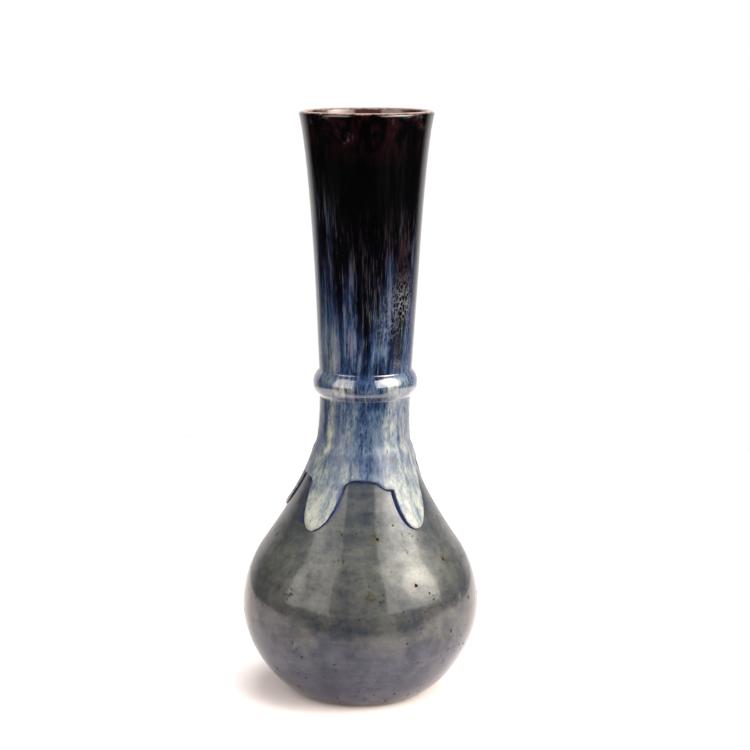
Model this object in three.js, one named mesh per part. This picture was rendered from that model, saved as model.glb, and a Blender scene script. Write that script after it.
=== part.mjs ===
// A hand-thrown stoneware bottle vase: a turned foot, a full belly, a narrow throat with a raised
// collar, and a long neck that flares to the lip. It stands on z = 0, in millimetres, with +Z up and
// its front towards -Y.
//
// The vase is thrown in two sections. The bulb carries the foot, belly, shoulder and throat; the neck
// is set on it with a film of slip, and a ring of clay, the collar, is luted round that joint. Three
// glazes lie on the clay: a thin coat on the bulb, a thick one dipped over the neck that ran down the
// shoulder in fingers, and a liner inside. Every layer is a closed shell of its own, and a small
// clearance keeps each shell off the next one.

import * as THREE from "three";

// ---------------------------------------------------------------- driving dimensions

const CLEARANCE = 0.3; // between two neighbouring shells

const foot = { outer: 33.4, inner: 27.5, chamfer: 0.8, recess: 2.2, slope: 1.2 };
const belly = { radius: 70.5, height: 55 };
const shoulder = { radius: 58.5, height: 92 };
const throat = { radius: 25.6, height: 176 };
const stem = { radius: 26.2, height: 197 };
const lip = { radius: 38.2, height: 347.9 };
const collar = { bottom: 183, peak: 190, top: 197.3, radius: 29.7, toe: 0.2, flat: 0.8 };

// The curves of the outline: how far the handle at each of their two ends reaches, out and up.
const curves = {
  flank: { leave: [10.2, 0], arrive: [0, -28.6] },
  shoulder: { leave: [0, 5], arrive: [11, -15.6] },
  slope: { leave: [-34.5, 48.9], arrive: [0, -16.7] },
  collarBelow: { leave: [1.7, 1.2], arrive: [0, -3.6] },
  collarAbove: { leave: [0, 3.8], arrive: [1.5, -1] },
  neck: { leave: [3.6, 68], arrive: [-5.15, -22.1] },
};

// The wall's thickness at three places; it thins to the lip from a height on the neck upwards.
const wall = { belly: 4.8, throat: 3.8, lip: 2, thinsFrom: 290, floor: 7.5, corner: 4 };
const joint = { height: 190, slip: 0.6, inset: 0.2 };
const glaze = { bulb: 0.6, neck: 1.0, lip: 0.6, liner: 0.5 };

// The neck stands this far to +X of the foot, where the two sections were luted a little off centre.
const lean = { offset: 4, from: 80, length: 95, power: 1.9 };

// Heights where the coats of glaze begin and end.
const bulbCoat = { bottom: 1.8, top: 150 };
const lap = { from: 0.6, to: 4, ring: 5.5 }; // above the top of the bulb's coat, under the neck's
const neckCoat = { line: 138.4, wander: 4, blend: 152, insideLip: 5 };

// The fingers of glaze that ran down the shoulder, each a tongue with an elliptical end: its middle
// as an angle from the front (-Y) towards +X, its tip's height, the height of its full width, and
// half that width along the surface.
const fingers = [
  { angle: -36.5, tip: 107.7, root: 132.7, half: 12.0 },
  { angle: 42.6, tip: 108.1, root: 130.6, half: 11.7 },
  { angle: 120, tip: 121.0, root: 139.0, half: 9.0 },
  { angle: 158, tip: 112.5, root: 134.0, half: 11.0 },
  { angle: 207, tip: 126.0, root: 140.0, half: 8.0 },
  { angle: 259, tip: 112.5, root: 134.0, half: 11.5 },
];
const fingerPower = 2.2; // 2 is an ellipse; more squares the sides

// Where the line between the fingers sags, or rises where the depth is negative: the middle and
// half the spread of each sag, in degrees.
const sags = [
  { angle: 29, depth: 7.9, spread: 15 },
  { angle: -66, depth: 1.9, spread: 14 },
  { angle: 78, depth: -3.2, spread: 13 },
];

// How finely the round pieces are faceted.
const SEGMENTS = 36;
const DRIP_SEGMENTS = 72;
const DRIP_RINGS = [0, 0.1, 0.35, 0.65]; // shares of the way from the glaze line up to the blend

// ---------------------------------------------------------------- outlines

const point = (radius, height) => new THREE.Vector2(radius, height);
const mix = THREE.MathUtils.lerp;
const smooth = THREE.MathUtils.smoothstep;

// Adds the curve between two places on the outline.
function bend(outline, from, to, { leave, arrive }) {
  outline.bezierCurveTo(
    from.radius + leave[0], from.height + leave[1],
    to.radius + arrive[0], to.height + arrive[1],
    to.radius, to.height,
  );
}

// The underside and belly, then the shoulder, then the slope up to the throat.
function bulbOutline() {
  const start = { radius: foot.outer, height: foot.chamfer };
  const outline = new THREE.Path();
  outline.moveTo(start.radius, start.height);
  bend(outline, start, belly, curves.flank);
  bend(outline, belly, shoulder, curves.shoulder);
  bend(outline, shoulder, throat, curves.slope);
  return outline;
}

// The neck above the collar, a slow flare that opens faster near the lip.
function neckOutline() {
  const outline = new THREE.Path();
  outline.moveTo(stem.radius, stem.height);
  bend(outline, stem, lip, curves.neck);
  return outline;
}

// The raised collar: D-shaped, with its lower flank a little longer than its upper one.
function collarOutline() {
  const start = { radius: throat.radius + collar.toe, height: collar.bottom };
  const peak = { radius: collar.radius, height: collar.peak };
  const end = { radius: stem.radius, height: collar.top };
  const outline = new THREE.Path();
  outline.moveTo(start.radius, start.height);
  bend(outline, start, peak, curves.collarBelow);
  bend(outline, peak, end, curves.collarAbove);
  return outline;
}

// Sampled once, so that the shells that lie on each other turn the same corners.
const BULB = bulbOutline().getPoints(6);
const RING = collarOutline().getPoints(4);
const NECK = neckOutline().getPoints(5);
const SKIN = [...BULB, ...RING, ...NECK.filter((p) => p.y > collar.top + 1)];

// The unit normal at a corner of a polyline, pointing away from the axis as the line climbs.
function normalAt(polyline, i) {
  const before = polyline[Math.max(i - 1, 0)];
  const after = polyline[Math.min(i + 1, polyline.length - 1)];
  const along = after.clone().sub(before).normalize();
  return point(along.y, -along.x);
}

// A polyline moved along its own normals, by a distance or by a function of the height.
function offset(polyline, distance) {
  return polyline.map((p, i) => {
    const d = typeof distance === "function" ? distance(p.y) : distance;
    return p.clone().add(normalAt(polyline, i).multiplyScalar(d));
  });
}

// The point at a height on a polyline that climbs, moved along the normal there.
function pointAt(polyline, height, distance = 0) {
  const next = polyline.findIndex((p) => p.y > height);
  const i = next < 0 ? polyline.length - 1 : Math.max(next, 1);
  const share = (height - polyline[i - 1].y) / (polyline[i].y - polyline[i - 1].y);
  const normal = normalAt(polyline, i - 1).lerp(normalAt(polyline, i), share).normalize();
  return polyline[i - 1].clone().lerp(polyline[i], share).add(normal.multiplyScalar(distance));
}

// ---------------------------------------------------------------- the hollow

function wallAt(height) {
  const lower = mix(wall.belly, wall.throat, smooth(height, belly.height, throat.height));
  return mix(lower, wall.lip, smooth(height, wall.thinsFrom, lip.height));
}

const BORE = throat.radius - wall.throat;
const BULB_WALL = offset(BULB, (height) => -wallAt(height)).filter((p) => p.y > wall.floor + 1);
const FLOOR_EDGE = point(BULB_WALL[0].x - wall.corner, wall.floor);
const NECK_WALL = offset(NECK, (height) => -wallAt(height));

// ---------------------------------------------------------------- turning outlines into solids

const leanAt = (height) => {
  const along = Math.max(height - lean.from, 0) / lean.length;
  return lean.offset * (1 - Math.exp(-(along ** lean.power)));
};

// Stands a lathe geometry up along +Z and carries each of its rings to the lean of its height.
function stand(geometry) {
  geometry.rotateX(Math.PI / 2);
  const position = geometry.attributes.position;
  for (let i = 0; i < position.count; i++) {
    position.setX(i, position.getX(i) + leanAt(position.getZ(i)));
  }
  return geometry;
}

function turned(profile, segments = SEGMENTS) {
  return stand(new THREE.LatheGeometry(profile, segments));
}

// A half-round lip over the top of two faces, leaning with them.
function crown(outer, inner, steps) {
  const middle = outer.clone().lerp(inner, 0.5);
  const across = outer.clone().sub(middle);
  const up = point(-across.y, across.x);
  return Array.from({ length: steps - 1 }, (_, i) => {
    const turn = ((i + 1) / steps) * Math.PI;
    const side = across.clone().multiplyScalar(Math.cos(turn));
    return middle.clone().add(side).add(up.clone().multiplyScalar(Math.sin(turn)));
  });
}

// ---------------------------------------------------------------- clay

function bulbGeometry() {
  const top = joint.height - joint.slip / 2 - CLEARANCE;
  return turned([
    point(0, foot.recess),
    point(foot.inner - foot.slope, foot.recess),
    point(foot.inner, 0),
    point(foot.outer - foot.chamfer, 0),
    ...BULB,
    point(throat.radius, top),
    point(BORE, top),
    ...BULB_WALL.slice().reverse(),
    FLOOR_EDGE,
    point(0, wall.floor),
  ]);
}

function neckGeometry() {
  const bottom = joint.height + joint.slip / 2 + CLEARANCE;
  const start = point(throat.radius + CLEARANCE, bottom);
  return turned([
    start,
    ...NECK,
    ...crown(NECK.at(-1), NECK_WALL.at(-1), 3),
    ...NECK_WALL.slice().reverse(),
    point(BORE, bottom),
    start,
  ]);
}

// The ring of clay luted round the joint.
function collarGeometry() {
  const bore = stem.radius + CLEARANCE;
  const start = point(bore, collar.bottom + collar.flat);
  return turned([start, ...RING.slice(1, -1), point(bore, collar.top - collar.flat), start]);
}

// The film of slip that the neck is set on, just short of both faces of the wall.
function slipGeometry() {
  const low = joint.height - joint.slip / 2;
  const high = joint.height + joint.slip / 2;
  const outer = throat.radius - joint.inset;
  const inner = BORE + joint.inset;
  const start = point(outer, low);
  return turned([start, point(outer, high), point(inner, high), point(inner, low), start]);
}

// ---------------------------------------------------------------- glazes

function bulbGlazeGeometry() {
  const { bottom, top } = bulbCoat;
  const heights = [bottom, ...BULB.map((p) => p.y).filter((y) => y > bottom + 0.3 && y < top), top];
  const outer = heights.map((height) => pointAt(SKIN, height, CLEARANCE + glaze.bulb));
  const inner = heights.map((height) => pointAt(SKIN, height, CLEARANCE));
  return turned([...outer, ...inner.reverse(), outer[0]]);
}

const degreesOff = (degrees, middle) => THREE.MathUtils.euclideanModulo(degrees - middle + 180, 360) - 180;

// The height of the glaze's lower edge between the fingers: an uneven line above the shoulder.
function lineHeight(degrees) {
  const angle = THREE.MathUtils.degToRad(degrees);
  const swing = 0.5 * Math.sin(angle - 0.6) - 0.35 * Math.cos(2 * angle + 0.4);
  const sag = sags.reduce(
    (sum, { angle: middle, depth, spread }) => (
      sum + depth * Math.exp(-((degreesOff(degrees, middle) / spread) ** 2))
    ),
    0,
  );
  return neckCoat.line + neckCoat.wander * swing - sag;
}

// The same edge, cut down by the fingers.
function edgeHeight(degrees) {
  const line = lineHeight(degrees);
  const reach = fingers.map(({ angle: middle, tip, root, half }) => {
    const away = degreesOff(degrees, middle);
    const radius = pointAt(SKIN, (tip + root) / 2).x;
    const along = (THREE.MathUtils.degToRad(Math.abs(away)) * radius) / half;
    if (along >= 1) return line;
    return root - (root - tip) * (1 - along ** fingerPower) ** (1 / fingerPower);
  });
  return Math.min(line, ...reach);
}

// How far the neck coat's two faces stand off the clay: it runs over the top of the bulb's coat.
function neckCoatFaces(height) {
  const overlap = 1 - smooth(height, bulbCoat.top + lap.from, bulbCoat.top + lap.to);
  const inner = CLEARANCE + overlap * (glaze.bulb + CLEARANCE);
  return { inner, outer: inner + glaze.neck };
}

// The lip's own coat: it thins over the top and ends a little way down the inside.
function neckCoatLip() {
  const over = CLEARANCE + glaze.lip;
  const rim = [NECK.at(-1), ...crown(NECK.at(-1), NECK_WALL.at(-1), 3), NECK_WALL.at(-1)];
  const turn = offset(rim, over).slice(1);
  const under = offset(rim, CLEARANCE).slice(1);
  const end = lip.height - neckCoat.insideLip;
  return [
    ...turn,
    pointAt(NECK_WALL, end, -over),
    pointAt(NECK_WALL, end, -CLEARANCE),
    ...under.reverse(),
  ];
}

function neckGlazeGeometry() {
  const lowest = Math.min(...fingers.map((finger) => finger.tip));
  const spread = neckCoat.blend - lowest;
  const heights = [
    ...DRIP_RINGS.map((share) => lowest + share * spread),
    neckCoat.blend,
    bulbCoat.top + lap.ring,
    throat.height,
    ...RING.map((p) => p.y),
    ...NECK.map((p) => p.y).filter((y) => y > collar.top + 4),
  ];

  // Below the blend height the rings stretch down to the glaze line; above it they stay level.
  const face = (height, side, degrees) => {
    const share = Math.max(neckCoat.blend - height, 0) / spread;
    const reached = height < neckCoat.blend
      ? mix(neckCoat.blend, edgeHeight(degrees), share)
      : height;
    const faces = neckCoatFaces(reached);
    const rounded = side === "outer" && share === 1 ? (faces.inner + faces.outer) / 2 : faces[side];
    return pointAt(SKIN, reached, rounded);
  };
  const column = (degrees) => {
    const outer = heights.map((height) => face(height, "outer", degrees));
    const inner = heights.map((height) => face(height, "inner", degrees));
    return [...outer, ...neckCoatLip(), ...inner.reverse(), outer[0]];
  };

  const rows = column(0).length;
  const geometry = new THREE.LatheGeometry(column(0), DRIP_SEGMENTS);
  const position = geometry.attributes.position;
  for (let i = 0; i <= DRIP_SEGMENTS; i++) {
    // A turn of 0 faces the front, and a quarter turn faces +X, once the lathe is stood up.
    const turn = ((i % DRIP_SEGMENTS) / DRIP_SEGMENTS) * 2 * Math.PI;
    column(THREE.MathUtils.radToDeg(turn)).forEach((p, row) => {
      position.setXYZ(i * rows + row, p.x * Math.sin(turn), p.y, p.x * Math.cos(turn));
    });
  }
  return stand(geometry);
}

function linerGeometry() {
  const top = lip.height - neckCoat.insideLip - 2 * CLEARANCE;
  const inside = [
    point(0, wall.floor),
    FLOOR_EDGE,
    ...BULB_WALL.filter((p, i) => p.y > shoulder.height || i % 2 === 0),
    point(BORE, joint.height),
    ...NECK_WALL.filter((p) => p.y < top - 4),
    pointAt(NECK_WALL, top),
  ];
  const outer = offset(inside, -CLEARANCE);
  const inner = offset(inside, -CLEARANCE - glaze.liner);
  return turned([...outer, ...inner.reverse()]);
}

// ---------------------------------------------------------------- the vase

const finish = {
  clay: { color: 0xb59a7c, roughness: 0.85, metalness: 0 },
  slip: { color: 0xa58b70, roughness: 0.9, metalness: 0 },
  bulbGlaze: { color: 0x6a706e, roughness: 0.18, metalness: 0 },
  neckGlaze: { color: 0x3b4c74, roughness: 0.12, metalness: 0 },
  liner: { color: 0x4a3a34, roughness: 0.2, metalness: 0 },
};

const pieces = [
  ["bulb", bulbGeometry, finish.clay],
  ["neck", neckGeometry, finish.clay],
  ["collar_ring", collarGeometry, finish.clay],
  ["joint_slip", slipGeometry, finish.slip],
  ["bulb_glaze", bulbGlazeGeometry, finish.bulbGlaze],
  ["neck_glaze", neckGlazeGeometry, finish.neckGlaze],
  ["liner_glaze", linerGeometry, finish.liner],
];

const vase = new THREE.Group();
for (const [name, geometry, look] of pieces) {
  const mesh = new THREE.Mesh(geometry(), new THREE.MeshStandardMaterial(look));
  mesh.name = name;
  vase.add(mesh);
}

export default vase;
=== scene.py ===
"""A glazed stoneware bottle vase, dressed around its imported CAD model.

The CAD model holds the clay sections and the coats of glaze as plain shells. Here the clay bulb and
the three glazes are thrown again as fine closed shells on the same outline, with the rounded edge,
the fingers and the throwing marks that the real ones have, and each gets a procedural material.
The vase's sizes and its outline are in millimetres; the stage, lights and camera are in metres.
"""

import math
from types import SimpleNamespace

import bpy
import numpy as np
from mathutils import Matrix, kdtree

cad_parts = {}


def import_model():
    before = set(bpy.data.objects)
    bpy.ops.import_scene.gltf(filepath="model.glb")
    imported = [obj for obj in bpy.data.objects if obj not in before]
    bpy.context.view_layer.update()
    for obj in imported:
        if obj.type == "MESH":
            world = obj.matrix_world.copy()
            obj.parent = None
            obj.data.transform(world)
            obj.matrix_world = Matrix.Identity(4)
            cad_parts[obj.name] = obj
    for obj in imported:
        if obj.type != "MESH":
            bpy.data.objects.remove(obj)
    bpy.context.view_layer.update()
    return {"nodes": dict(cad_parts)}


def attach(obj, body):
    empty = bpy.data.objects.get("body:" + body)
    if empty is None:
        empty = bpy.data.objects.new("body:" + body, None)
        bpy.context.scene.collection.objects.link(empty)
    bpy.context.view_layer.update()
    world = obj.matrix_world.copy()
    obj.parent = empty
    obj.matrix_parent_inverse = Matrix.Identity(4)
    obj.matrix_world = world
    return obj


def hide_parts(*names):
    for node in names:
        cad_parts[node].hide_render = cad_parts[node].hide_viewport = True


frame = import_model()

MM = 0.001
TURN = 2 * math.pi

# ------------------------ sizes, in millimetres

CLEARANCE = 0.3
FOOT = {"inner": 27.5, "recess": 2.2, "slope": 1.2, "bevel": (0.3, 0.25), "grooves": 0.09}

# The outline's points from the foot up. "behind" and "ahead" are the handles of the curves that meet
# there, as offsets of radius and height.
HEEL = {"radius": 33.4, "height": 0.8, "ahead": (10.2, 0)}
BELLY = {"radius": 70.5, "height": 55, "behind": (0, -28.6), "ahead": (0, 5)}
SHOULDER = {"radius": 58.5, "height": 92, "behind": (11, -15.6), "ahead": (-34.5, 48.9)}
THROAT = {"radius": 25.6, "height": 176, "behind": (0, -16.7)}
COLLAR_BOTTOM = {"radius": 25.8, "height": 183, "ahead": (1.7, 1.2)}
COLLAR_PEAK = {"radius": 29.7, "height": 190, "behind": (0, -3.6), "ahead": (0, 3.8)}
COLLAR_TOP = {"radius": 26.2, "height": 197.3, "behind": (1.5, -1)}
STEM = {"radius": 26.2, "height": 197, "ahead": (3.6, 68)}
LIP = {"radius": 38.2, "height": 347.9, "behind": (-5.15, -22.1)}

WALL = {"belly": 4.8, "throat": 3.8, "lip": 2.0, "thins_from": 290, "floor": 7.5}
# The rounded corner inside, between the floor and the wall, and where the floor's flat middle ends.
CORNER = {"flat": 12, "in": 5, "out": 1.6, "down": 1.8, "rise": 2.5}
MIDDLE = {"clay": 20.0, "liner": 18.0}
GLAZE = {"bulb": 0.6, "neck": 1.0, "lip": 0.6, "liner": 0.5}
LEAN = {"offset": 4.0, "from": 80, "length": 95, "power": 1.9}
BULB_COAT = {"bottom": 1.8, "top": 150}
NECK_COAT = {"line": 138.4, "wander": 4, "blend": 152, "inside_lip": 5}
JOINT = {"height": 190, "slip": 0.6}
BULB_EDGE = {"roll": 0.9, "least": 0.25}
BULB_MARKS = {"throwing": 0.006, "wander": 0.05}
NECK_MARKS = {"throwing": 0.035, "wander": 0.07}

# The running glaze's edge: the width of its round, the fat roll behind it, the share of the coat's
# thickness that it starts from and settles at, and how far it comes down onto the bulb's coat.
BEAD = {"round": 1.5, "roll": 0.32, "roll_at": 2.2, "roll_width": 1.9, "least": 0.06, "flat": 0.88}
SETTLED = {"drop": 0.2, "within": 1.6}
# How much fatter a finger is by its tip, and where.
TIP_SWELL = {"height": 0.45, "above": 5, "tall": 6, "degrees": 9}

# A finger's outline: how square its tip is, how steeply its sides open out above, the fillet where
# they meet the line, and the rounds it takes to fit the outline to the narrowing surface.
FINGER = {"power": 2.15, "flare": 2.6, "fillet": 3.2, "rounds": 14}
RAGGED = {"line": 0.3, "finger": 0.12}
# The pale stream above a finger: its spread in degrees, and where it fades in below its start.
STREAM = {"spread": 24, "begins": -14, "full": 26}


def listed(columns, *lines):
    """Rows of numbers under the names of their columns."""
    return [dict(zip(columns.split(), line)) for line in lines]


# The fingers of glaze: the angle of the tip from the front (-Y) towards +X, the heights of the tip
# and of the full width, half that width along the surface, how far the root leans, in degrees, and
# the height from which the glaze that feeds it is pale, and how pale it gets.
FINGERS = listed(
    "angle tip root half skew from pale",
    (-36.5, 107.7, 132.7, 12.0, 0.5, 140, 0.5),
    (42.6, 108.1, 130.6, 11.7, 5.0, 172, 0.50),
    (120, 121.0, 139.0, 9.0, -2.0, 182, 0.9),
    (158, 112.5, 134.0, 11.0, 2.0, 150, 0.5),
    (207, 126.0, 140.0, 8.0, 0.0, 148, 0.3),
    (259, 112.5, 134.0, 11.5, 1.5, 165, 0.8),
)

# Where the line between the fingers sags, or rises where the amount is negative.
SAGS = listed(
    "angle amount spread",
    (29, 7.9, 15),
    (-66, 1.9, 14),
    (78, -3.2, 13),
)

# Where the ink line along the glaze's edge is wider than the thin line, or finer, and by how much.
THIN_INK = 0.32
INK = listed(
    "angle spread amount",
    (4, 15, 0.70),
    (31, 6, 1.4),
    (-20, 5, 0.9),
    (-51, 5, 1.2),
    (-64, 8, 0.7),
    (146, 7, 0.6),
    (184, 10, 0.7),
    (232, 8, 0.5),
    (263, 12, -0.22),
)

# How much further along its way from black to blue the glaze is, round the neck, in millimetres.
EARLY = listed(
    "angle spread amount",
    (52, 22, 7),
    (-54, 26, 30),
    (2, 17, -19),
    (128, 26, 20),
    (214, 28, 26),
)

# Patches where the running glaze lies darker or paler than round them, and two pale ones on the collar
# that are painted highlights: the angle and height of the middle, the spread in degrees and in
# millimetres up and down, and the change to its level.
PATCHES_AND_HIGHLIGHTS = listed(
    "angle height spread tall amount",
    (-35, 170, 4, 10, -0.24),
    (-37, 152, 5, 8, -0.10),
    (-57, 168, 5, 18, -0.15),
    (-46, 160, 4.5, 20, 0.17),
    (-58, 147, 8, 8, 0.10),
    (-46, 163, 17, 17, 0.06),
    (-20, 160, 7, 9, 0.05),
    (-30, 148, 22, 3, -0.08),
    (35, 146.5, 3.5, 4, -0.62),
    (12, 180, 26, 4, -0.07),
    (16, 141, 3.5, 8, -0.16),
    (34, 172, 12, 14, 0.07),
    # The next two rows, pale patches on the collar's crest, are painted highlights.
    (-24, 190, 8, 3.5, 0.42),
    (28, 191, 14, 3, 0.20),
    (-44, 191, 6, 5, -0.10),
    (10, 211, 5, 10, 0.13),
    (26, 212, 9, 6, 0.14),
    (-14, 212, 3, 14, 0.12),
    (-38, 210, 6, 16, 0.05),
    (44, 205, 7, 9, -0.10),
    (2, 155, 13, 14, -0.08),
    (2, 190, 11, 5, 0.19),
    (130, 160, 6, 16, -0.16),
    (176, 150, 14, 6, -0.12),
    (222, 168, 6, 14, -0.16),
    (196, 216, 5, 14, 0.16),
    (288, 158, 7, 12, -0.14),
)

# Where the glaze crawled into a net of pale loops, laid out as the patches are.
NETS = listed(
    "angle height spread tall amount",
    (44, 240, 15, 12, 0.9),
    (24, 226, 11, 9, 0.6),
    (-12, 158, 24, 12, 0.45),
    (158, 232, 12, 11, 0.6),
    (240, 224, 13, 9, 0.6),
)

# Clusters of rust specks, laid out as the patches are.
RUSTS = listed(
    "angle height spread tall amount",
    (30, 151, 6, 5, 1.0),
    (27, 141, 5, 5, 1.0),
    (38, 133, 4, 4, 0.7),
    (60, 160, 9, 8, 0.6),
    (-55, 152, 7, 6, 0.9),
    (-22, 150, 9, 5, 0.7),
    (140, 147, 12, 7, 0.9),
    (206, 156, 10, 6, 0.9),
    (266, 142, 9, 9, 0.8),
)

NECK_COLUMNS = 508
BULB_COLUMNS = 420
CLAY_COLUMNS = 240
LINER_COLUMNS = 180
BULB_ROW_MM = 1.25

# The glaze line is walked in fine steps, where a step up counts for less than a step round, and
# distances from it are measured up to a limit, between two heights.
LINE_STEPS = 7200
UP_SHARE = 0.7
TREE_POINTS = 3000
FAR_MM = 14.0
EDGE_HEIGHTS = (95, 158)


# ------------------------ the outline


def bezier(points, steps):
    """A cubic through its end points, as rows of (radius, height), without its first point."""
    a, b, c, d = (np.array(p, float) for p in points)
    t = np.linspace(0, 1, steps + 1)[1:, None]
    return (1 - t) ** 3 * a + 3 * (1 - t) ** 2 * t * b + 3 * (1 - t) * t**2 * c + t**3 * d


def smooth(x, low, high):
    t = np.clip((x - low) / (high - low), 0, 1)
    return t * t * (3 - 2 * t)


def at(point):
    return np.array([point["radius"], point["height"]])


def arc(start, end, steps):
    """The curve from one outline point to another."""
    a, d = at(start), at(end)
    return bezier([a, a + start["ahead"], d + end["behind"], d], steps)


def bulb_outline():
    arcs = [arc(HEEL, BELLY, 80), arc(BELLY, SHOULDER, 50), arc(SHOULDER, THROAT, 90)]
    return np.vstack([[at(HEEL)], *arcs])


def collar_outline():
    arcs = [arc(COLLAR_BOTTOM, COLLAR_PEAK, 24), arc(COLLAR_PEAK, COLLAR_TOP, 24)]
    return np.vstack([[at(COLLAR_BOTTOM)], *arcs])


def neck_outline():
    return np.vstack([[at(STEM)], arc(STEM, LIP, 90)])


def resampled(line, step):
    """The same line with its points an even distance apart."""
    length = np.r_[0, np.cumsum(np.hypot(*np.diff(line, axis=0).T))]
    even = np.linspace(0, length[-1], int(length[-1] / step) + 1)
    return np.column_stack([np.interp(even, length, line[:, k]) for k in (0, 1)])


def normals(line):
    along = np.gradient(line, axis=0)
    along /= np.linalg.norm(along, axis=1)[:, None]
    return np.column_stack([along[:, 1], -along[:, 0]])


def softened(values, width):
    """A moving average, which leaves the ends where they are."""
    kernel = np.hanning(width + 2)[1:-1]
    padded = np.pad(values, width // 2, mode="reflect", reflect_type="odd")
    return np.convolve(padded, kernel / kernel.sum(), mode="valid")[: len(values)]


STEP_MM = 0.25
ROUNDED_POINTS = 13
NECK_LINE = neck_outline()
SKIN = resampled(np.vstack([
    bulb_outline(),
    collar_outline(),
    NECK_LINE[NECK_LINE[:, 1] > COLLAR_TOP["height"] + 0.3],
]), STEP_MM)
SKIN = np.column_stack([softened(SKIN[:, k], ROUNDED_POINTS) for k in (0, 1)])
SKIN_NORMAL = normals(SKIN)
SKIN_LENGTH = np.r_[0, np.cumsum(np.hypot(*np.diff(SKIN, axis=0).T))]


def lean_at(height):
    along = np.maximum(height - LEAN["from"], 0) / LEAN["length"]
    return LEAN["offset"] * (1 - np.exp(-(along ** LEAN["power"])))


def off_skin(height, distance):
    """The radius and height of the points a distance off the clay, whose feet are at a height on it."""
    r = np.interp(height, SKIN[:, 1], SKIN[:, 0])
    nr = np.interp(height, SKIN[:, 1], SKIN_NORMAL[:, 0])
    nz = np.interp(height, SKIN[:, 1], SKIN_NORMAL[:, 1])
    return r + nr * distance, height + nz * distance


def wall_at(height):
    narrowed = smooth(height, BELLY["height"], THROAT["height"])
    lower = WALL["belly"] + (WALL["throat"] - WALL["belly"]) * narrowed
    return lower + (WALL["lip"] - lower) * smooth(height, WALL["thins_from"], LIP["height"])


def even_turn(count):
    return np.linspace(0, TURN, count, endpoint=False)


def round_off(angle, radius, height):
    """Metres from turned millimetres: an angle of 0 faces the front, and a quarter turn faces +X."""
    x = lean_at(height) + radius * np.sin(angle)
    return np.stack([x, -radius * np.cos(angle), np.broadcast_to(height, x.shape)], axis=-1) * MM


# ------------------------ noise for the shapes


def waves(angle, height, seed, across, along):
    """A smooth wander over a turned surface, made of a few waves that close round it; about -1 to 1."""
    count = 9
    random = np.random.default_rng(seed)
    total = np.zeros(np.broadcast(angle, height).shape)
    for _ in range(count):
        turns = random.integers(-across, across + 1)
        rate = random.uniform(0.3, 1) * TURN / along
        total += np.sin(turns * angle + rate * height + random.uniform(0, TURN))
    return total / math.sqrt(count / 2) / 2


# ------------------------ meshes


def placed(name, data):
    made = bpy.data.objects.new(name, data)
    bpy.context.collection.objects.link(made)
    return made


def piece(name, points, faces, shades, node):
    """A smooth mesh piece on the root body, with its painted attributes, in place of a CAD node."""
    mesh = bpy.data.meshes.new(name)
    mesh.from_pydata(points.reshape(-1, 3).tolist(), [], faces)
    mesh.shade_smooth()
    for label, values in shades.items():
        kind, key = ("FLOAT_VECTOR", "vector") if values.ndim > 1 else ("FLOAT", "value")
        layer = mesh.attributes.new(label, kind, "POINT")
        layer.data.foreach_set(key, values.astype(np.float32).ravel())
    made = placed(name, mesh)
    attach(made, "root")
    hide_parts(node)
    return made


def ring_quads(rings, columns, closed):
    """Quads round each ring of a stack, and from the last ring to the first where it is closed."""
    row = np.arange(rings if closed else rings - 1)[:, None]
    column = np.arange(columns)[None, :]
    above = (row + 1) % rings
    right = (column + 1) % columns
    a = row * columns + column
    b = row * columns + right
    c = above * columns + right
    d = above * columns + column
    return np.stack([a, b, c, d], axis=-1).reshape(-1, 4).tolist()


def flow_of(angle, length):
    """A point's place on the surface, as if that were a tube of even radius, for the noises."""
    radius = 32.0
    return np.stack([radius * np.sin(angle), radius * np.cos(angle), length], axis=-1).reshape(-1, 3)


# ------------------------ the neck's running glaze

GLAZE_LENGTH = SKIN_LENGTH[-1]


def smooth_min(a, b, reach):
    mix = np.clip(0.5 + 0.5 * (b - a) / reach, 0, 1)
    return b + (a - b) * mix - reach * mix * (1 - mix)


def finger_height(angle, finger):
    """The lower edge of one finger, which keeps its width along the surface as that narrows upwards."""
    away = degrees_off(angle, finger["angle"])
    depth = finger["root"] - finger["tip"]
    height = np.full_like(angle, finger["root"])
    for _ in range(FINGER["rounds"]):
        radius = np.interp(height, SKIN[:, 1], SKIN[:, 0])
        climb = np.clip((height - finger["tip"]) / depth, 0, 1)
        along = np.abs(np.radians(away - finger["skew"] * climb)) * radius / finger["half"]
        inside = np.clip(along, 0, 1) ** FINGER["power"]
        reach = finger["tip"] + depth * (1 - (1 - inside) ** (1 / FINGER["power"]))
        reach += np.maximum(along - 1, 0) * FINGER["flare"] * finger["half"]
        height = height + 0.4 * (np.minimum(reach, finger["root"] + 20) - height)
    return height


def edge_height(angle):
    """The lower edge of the running glaze: an uneven line, and fingers that fillet into it."""
    swing = 0.5 * np.sin(angle - 0.6) - 0.35 * np.cos(2 * angle + 0.4)
    line = NECK_COAT["line"] + NECK_COAT["wander"] * swing
    edge = line + RAGGED["line"] * waves(angle, 0, 11, 22, 100) - humps(angle, SAGS)
    for n, finger in enumerate(FINGERS):
        ragged = finger_height(angle, finger) + RAGGED["finger"] * waves(angle, 0, 20 + n, 16, 100)
        edge = smooth_min(edge, ragged, FINGER["fillet"])
    return edge


def neck_columns():
    """Angles spaced evenly along the glaze line, so that the steep sides of the fingers get enough."""
    fine = np.linspace(0, TURN, LINE_STEPS + 1)
    edge = edge_height(fine)
    radius = np.interp(edge, SKIN[:, 1], SKIN[:, 0])
    stretch = np.hypot(radius[1:] * np.diff(fine), UP_SHARE * np.diff(edge))
    length = np.r_[0, np.cumsum(stretch)]
    return np.interp(np.linspace(0, length[-1], NECK_COLUMNS + 1)[:-1], length, fine)


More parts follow.
